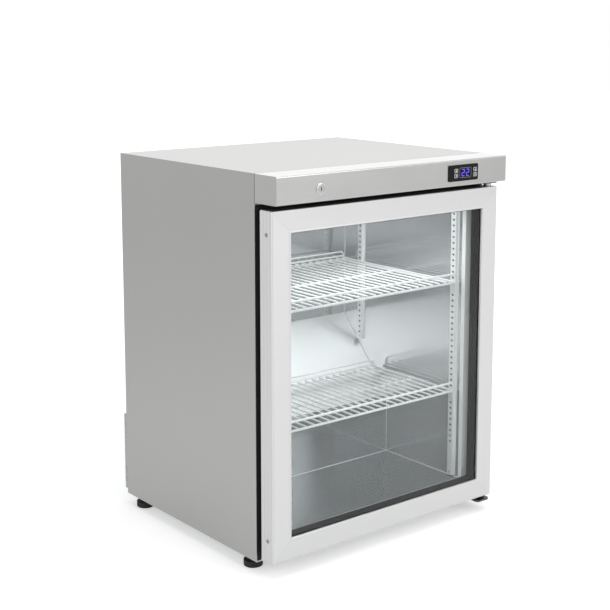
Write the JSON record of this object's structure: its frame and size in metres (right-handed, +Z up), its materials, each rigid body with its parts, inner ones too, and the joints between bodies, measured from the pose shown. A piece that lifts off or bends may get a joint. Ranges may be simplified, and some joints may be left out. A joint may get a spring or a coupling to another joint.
{
  "type": "under counter fridge",
  "caption": "Under-counter refrigerator with a framed glass door, a control header with a key lock, wire shelves and levelling feet.",
  "frame": {"origin": "on the floor, under the middle of the whole refrigerator's box", "axes": "+X to the right seen from the front, +Y to the rear, +Z up; the door faces -Y"},
  "size_m": [0.6, 0.5566, 0.774],
  "materials": {
    "stainless": "vertical brushed satin",
    "galvanised": "zinc-coated sheet",
    "liner_steel": "bright rolled stainless",
    "foam": "rigid polyurethane foam",
    "white_plastic": "moulded",
    "aluminium_frame": "satin anodised",
    "glass": "clear insulated unit",
    "gasket_rubber": "matt extruded",
    "black_plastic": "moulded",
    "display": "smoked window",
    "button_plastic": "moulded",
    "board": "circuit board",
    "zinc_steel": "zinc plated",
    "lock_chrome": "polished",
    "black_screw": "black zinc",
    "compressor_black": "gloss enamel",
    "copper": "drawn copper tube",
    "shelf_coating": "white coated wire"
  },
  "bodies": {
    "cabinet": {"left_side_panel": "stainless", "right_side_panel": "stainless", "top_panel": "stainless", "back_panel": "galvanised", "front_rails": "galvanised", "thermal_break_frame": "white_plastic", "insulation": "foam", "liner": "liner_steel", "temperature_probe": "white_plastic", "evaporator": "aluminium_frame", "pilasters": "liner_steel", "shelf_clips": "liner_steel", "fixings": "zinc_steel", "underbody_sheet": "galvanised", "compressor_tray": "galvanised", "compressor": "compressor_black", "compressor_terminal_box": "black_plastic", "rubber_grommets": "gasket_rubber", "condenser_fins": "aluminium_frame", "condenser_coil": "copper", "refrigerant_lines": "copper", "fan_motor": "black_plastic", "fan_shroud": "galvanised", "condensate_drain": "black_plastic", "rear_cover": "galvanised", "rear_cover_screws": "black_screw", "control_header": "stainless", "controller_housing": "black_plastic", "controller_bezel": "black_plastic", "display_window": "display", "controller_board": "board", "lock_body": "lock_chrome", "hinge_plates": "zinc_steel", "hinge_pins": "zinc_steel"},
    "door": {"door_top_rail": "aluminium_frame", "door_bottom_rail": "aluminium_frame", "door_handle_stile": "aluminium_frame", "door_hinge_stile": "aluminium_frame", "door_corner_keys": "black_plastic", "door_handle_strip": "aluminium_frame", "handle_screws": "zinc_steel", "glass_panes": "glass", "glass_spacer": "aluminium_frame", "door_gasket": "gasket_rubber", "gasket_magnets": "zinc_steel", "hinge_bushes": "black_plastic"},
    "lock": {"lock_plug": "lock_chrome", "lock_cam": "zinc_steel"},
    "upper_shelf": {"upper_shelf": "shelf_coating"},
    "lower_shelf": {"lower_shelf": "shelf_coating"},
    "condenser_fan": {"condenser_fan": "black_plastic"},
    "button_set": {"button_set": "button_plastic"},
    "button_down": {"button_down": "button_plastic"},
    "button_up": {"button_up": "button_plastic"},
    "button_power": {"button_power": "button_plastic"},
    "foot_front_left": {"foot_front_left": "black_plastic"},
    "foot_front_right": {"foot_front_right": "black_plastic"},
    "foot_rear_left": {"foot_rear_left": "black_plastic"},
    "foot_rear_right": {"foot_rear_right": "black_plastic"}
  },
  "joints": [
    {"name": "door_hinge", "type": "hinge", "parent": "cabinet", "child": "door", "pos_m": [0.285, -0.2389, 0.366], "axis": [0, 0, 1], "range_deg": [0, 120]},
    {"name": "lock_turn", "type": "hinge", "parent": "cabinet", "child": "lock", "pos_m": [-0.197, -0.2599, 0.744], "axis": [0, 1, 0], "range_deg": [0, 90]},
    {"name": "upper_shelf_lift", "type": "slide", "parent": "cabinet", "child": "upper_shelf", "axis": [0, 0, 1], "range_m": [0, 0.03]},
    {"name": "lower_shelf_lift", "type": "slide", "parent": "cabinet", "child": "lower_shelf", "axis": [0, 0, 1], "range_m": [0, 0.03]},
    {"name": "fan_spin", "type": "hinge", "parent": "cabinet", "child": "condenser_fan", "pos_m": [-0.19, 0.1681, 0.108], "axis": [1, 0, 0], "continuous": true},
    {"name": "button_set_press", "type": "slide", "parent": "cabinet", "child": "button_set", "axis": [0, 1, 0], "range_m": [0, 0.0006], "stiffness_N_per_m": 600},
    {"name": "button_down_press", "type": "slide", "parent": "cabinet", "child": "button_down", "axis": [0, 1, 0], "range_m": [0, 0.0006], "stiffness_N_per_m": 600},
    {"name": "button_up_press", "type": "slide", "parent": "cabinet", "child": "button_up", "axis": [0, 1, 0], "range_m": [0, 0.0006], "stiffness_N_per_m": 600},
    {"name": "button_power_press", "type": "slide", "parent": "cabinet", "child": "button_power", "axis": [0, 1, 0], "range_m": [0, 0.0006], "stiffness_N_per_m": 600},
    {"name": "foot_front_left_level", "type": "slide", "parent": "cabinet", "child": "foot_front_left", "axis": [0, 0, -1], "range_m": [0, 0.012]},
    {"name": "foot_front_right_level", "type": "slide", "parent": "cabinet", "child": "foot_front_right", "axis": [0, 0, -1], "range_m": [0, 0.012]},
    {"name": "foot_rear_left_level", "type": "slide", "parent": "cabinet", "child": "foot_rear_left", "axis": [0, 0, -1], "range_m": [0, 0.012]},
    {"name": "foot_rear_right_level", "type": "slide", "parent": "cabinet", "child": "foot_rear_right", "axis": [0, 0, -1], "range_m": [0, 0.012]}
  ]
}
